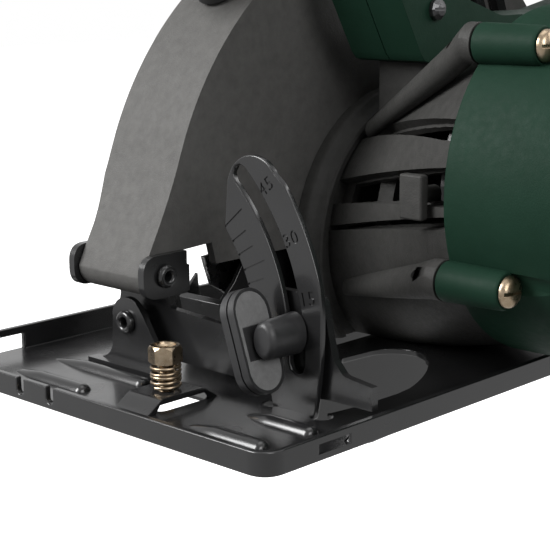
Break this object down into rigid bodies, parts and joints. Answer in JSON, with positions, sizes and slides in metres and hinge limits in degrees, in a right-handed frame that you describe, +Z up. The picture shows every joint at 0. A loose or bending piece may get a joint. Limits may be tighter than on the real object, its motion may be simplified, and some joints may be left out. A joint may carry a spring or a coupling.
{
  "type": "circular saw",
  "caption": "Hand-held circular saw with a pressed steel base, bevel quadrant and clamp knob, hinged depth setting, retracting blade cover and side-mounted motor.",
  "frame": {"origin": "on the sole, midway along the base and 36 mm in from its motor-side edge", "axes": "+X towards the front of the saw, +Y to the motor side (the left of someone pushing it), +Z up"},
  "size_m": [0.28, 0.253, 0.2307],
  "materials": {
    "black_steel": "semi-gloss black powder coat on pressed sheet steel",
    "cast_grey": "sand-textured warm grey paint on die casting",
    "green_shell": "finely textured dark green glass-filled nylon",
    "black_plastic": "satin black moulded plastic",
    "soft_grip": "matt soft-touch rubber",
    "bright_steel": "bright ground steel",
    "yellow_zinc": "brownish passivated zinc plating",
    "dark_steel": "dark oiled steel",
    "copper": "copper windings and segments",
    "carbon": "pressed carbon"
  },
  "bodies": {
    "base": {"base_plate": "black_steel", "front_pivot_ear": "black_steel", "rear_pivot_ear": "black_steel", "front_bevel_rivet": "black_steel", "rear_bevel_rivet": "black_steel", "fence_clamp_spring": "yellow_zinc"},
    "fence_bolt": {"fence_clamp_bolt": "yellow_zinc"},
    "tilt": {"front_tilt_bracket": "black_steel", "rear_tilt_bracket": "black_steel", "depth_guide_arm": "black_steel", "arm_rivet_1": "black_steel", "arm_rivet_2": "black_steel", "depth_pivot_pin": "black_steel", "bevel_clamp_bolt": "yellow_zinc"},
    "knob": {"bevel_lock_knob": "black_plastic"},
    "saw": {"upper_guard": "cast_grey", "gear_case": "cast_grey", "bearing_plate": "cast_grey", "motor_housing": "green_shell", "motor_end_cap": "black_plastic", "motor_screw_1": "yellow_zinc", "motor_screw_2": "yellow_zinc", "motor_screw_3": "yellow_zinc", "motor_screw_4": "yellow_zinc", "field_stator": "dark_steel", "spindle_bearing": "bright_steel", "armature_front_bearing": "bright_steel", "armature_rear_bearing": "bright_steel", "carbon_brush_upper": "carbon", "carbon_brush_lower": "carbon", "brush_cap_upper": "black_plastic", "brush_cap_lower": "black_plastic", "guard_return_spring": "bright_steel", "depth_lock_bolt": "yellow_zinc", "handle_shell_left": "green_shell", "handle_shell_right": "green_shell", "handle_screw_1": "dark_steel", "handle_screw_2": "dark_steel", "handle_screw_3": "dark_steel", "switch_body": "dark_steel", "cord_inlet": "black_plastic", "front_grip": "soft_grip"},
    "arbor": {"spindle": "bright_steel", "spindle_gear": "dark_steel", "inner_flange": "dark_steel", "saw_blade": "bright_steel", "outer_flange": "dark_steel", "blade_bolt": "bright_steel"},
    "armature": {"armature_shaft": "dark_steel", "armature_core": "copper", "commutator": "copper", "cooling_fan": "black_plastic"},
    "blade_cover": {"lower_guard": "black_steel", "lower_guard_lever": "black_plastic"},
    "trigger": {"trigger": "black_plastic"},
    "lock_off": {"lock_off_button": "black_plastic"},
    "spindle_lock": {"spindle_lock_button": "cast_grey"},
    "depth_lever": {"depth_lock_lever": "black_plastic"}
  },
  "joints": [
    {"name": "bevel_tilt", "type": "hinge", "parent": "base", "child": "tilt", "pos_m": [0, -0.0611, 0.0176], "axis": [1, 0, 0], "range_deg": [0, 40]},
    {"name": "depth_swing", "type": "hinge", "parent": "tilt", "child": "saw", "pos_m": [0.1024, -0.061, 0.035], "axis": [0, 1, 0], "range_deg": [0, 25]},
    {"name": "bevel_knob_turn", "type": "hinge", "parent": "tilt", "child": "knob", "pos_m": [0.11, 0.00687, 0.02522], "axis": [1, 0, 0], "range_deg": [0, 180]},
    {"name": "fence_bolt_turn", "type": "hinge", "parent": "base", "child": "fence_bolt", "pos_m": [0.1162, -0.0275, 0.016], "axis": [0, 0, 1], "range_deg": [0, 360]},
    {"name": "lower_guard_turn", "type": "hinge", "parent": "saw", "child": "blade_cover", "pos_m": [-0.01, -0.062, 0.032], "axis": [0, 1, 0], "range_deg": [0, 105], "stiffness_Nm_per_rad": 0.12, "springref_deg": -34.38},
    {"name": "spindle_spin", "type": "hinge", "parent": "saw", "child": "arbor", "pos_m": [-0.01, -0.062, 0.032], "axis": [0, 1, 0], "continuous": true},
    {"name": "armature_spin", "type": "hinge", "parent": "saw", "child": "armature", "pos_m": [0.00887, 0.036, 0.06073], "axis": [0, 1, 0], "continuous": true},
    {"name": "trigger_pull", "type": "slide", "parent": "saw", "child": "trigger", "axis": [0, 0, 1], "range_m": [0, 0.005], "stiffness_N_per_m": 600, "springref_m": -0.002},
    {"name": "lock_off_press", "type": "slide", "parent": "saw", "child": "lock_off", "axis": [0, -1, 0], "range_m": [0, 0.002], "stiffness_N_per_m": 500, "springref_m": -0.002},
    {"name": "spindle_lock_press", "type": "slide", "parent": "saw", "child": "spindle_lock", "axis": [-1, 0, 0], "range_m": [0, 0.0025], "stiffness_N_per_m": 500, "springref_m": -0.002},
    {"name": "depth_lever_turn", "type": "hinge", "parent": "saw", "child": "depth_lever", "pos_m": [-0.07427, -0.036, 0.05669], "axis": [0, -1, 0], "range_deg": [0, 40]}
  ],
  "couplings": [
    {"joint": "armature_spin", "follows": "spindle_spin", "ratio": -2.6667}
  ]
}
